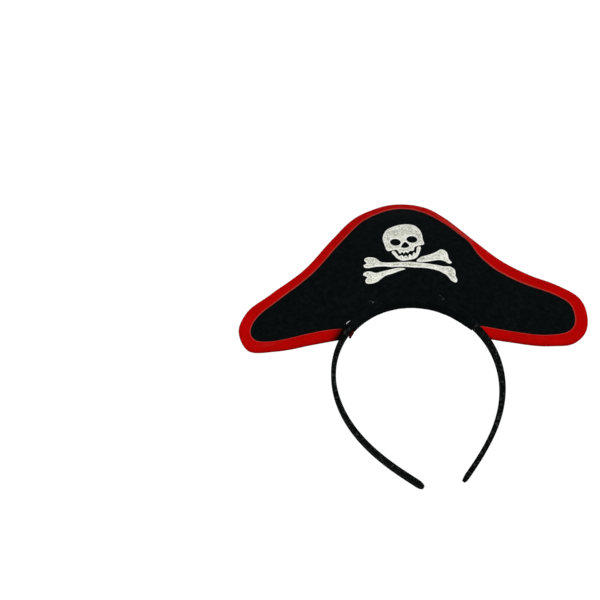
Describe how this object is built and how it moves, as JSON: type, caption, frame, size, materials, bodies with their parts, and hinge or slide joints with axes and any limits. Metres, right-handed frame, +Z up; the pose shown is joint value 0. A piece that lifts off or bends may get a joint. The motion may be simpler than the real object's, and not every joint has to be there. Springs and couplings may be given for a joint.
{
  "type": "pirate hat hairband",
  "caption": "Hat-shaped felt panel with a red bound edge and a skull emblem, standing on a ribbon-wound spring hairband.",
  "frame": {"origin": "middle of the hoop's underside at its top, under the felt strip, where it rests on the wearer's head", "axes": "+Z up along the hoop's middle line, +X to the viewer's right, -Y the way the hat's front faces"},
  "size_m": [0.2716, 0.0459, 0.2729],
  "materials": {
    "felt": "black craft felt, matt with short fuzz",
    "ribbon": "black fine-weave ribbon, faint sheen across the weave",
    "red_satin": "bright red satin bias tape with a soft sheen",
    "foam": "thin stiff sponge sheet",
    "plastic": "moulded spring plastic",
    "glue": "set hot glue, cloudy and glossy",
    "emblem": "cream bonded cloth with a fine grey mottle"
  },
  "bodies": {
    "root": {"hoop_core": "plastic", "ribbon_sleeve": "ribbon", "ribbon_tip_left": "ribbon", "ribbon_tip_right": "ribbon", "front_felt": "felt", "foam_core": "foam", "back_felt": "felt", "edge_binding": "red_satin", "binding_tail": "red_satin", "wrap_strip": "felt", "glue_bead_front": "glue", "glue_bead_back": "glue", "glue_dab_1": "glue", "glue_dab_2": "glue", "glue_dab_3": "glue", "glue_dab_4": "glue", "skull": "emblem", "jaw": "emblem", "front_bone": "emblem", "rear_bone_upper": "emblem", "rear_bone_lower": "emblem"}
  },
  "joints": []
}
